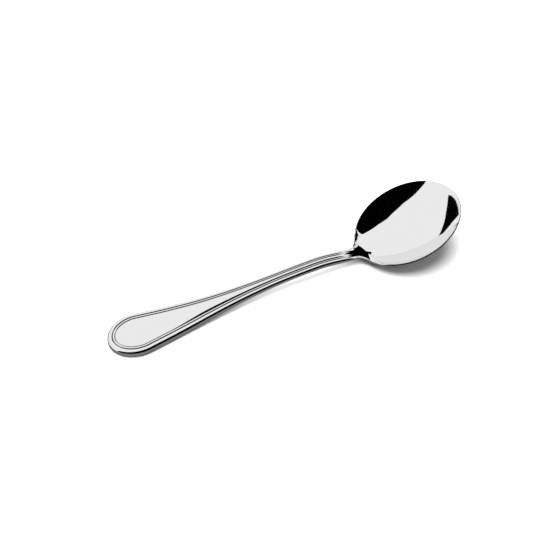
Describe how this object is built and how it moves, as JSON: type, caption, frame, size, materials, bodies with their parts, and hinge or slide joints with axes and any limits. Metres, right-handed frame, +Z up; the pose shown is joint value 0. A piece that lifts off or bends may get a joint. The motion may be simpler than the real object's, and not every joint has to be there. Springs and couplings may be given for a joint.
{
  "type": "soup spoon",
  "caption": "Polished steel soup spoon with a round deep bowl, a narrow shank and a broad rounded handle end inside a raised thread border.",
  "frame": {"origin": "middle of the spoon's box, on the surface that it lies on", "axes": "+X along the spoon towards the front of the bowl, +Z up out of the bowl"},
  "size_m": [0.1784, 0.0458, 0.0227],
  "materials": {
    "steel": "mirror-polished stainless steel"
  },
  "bodies": {
    "root": {"bowl": "steel", "neck": "steel", "shank": "steel", "handle_end": "steel", "outer_bead": "steel", "inner_thread": "steel"}
  },
  "joints": []
}
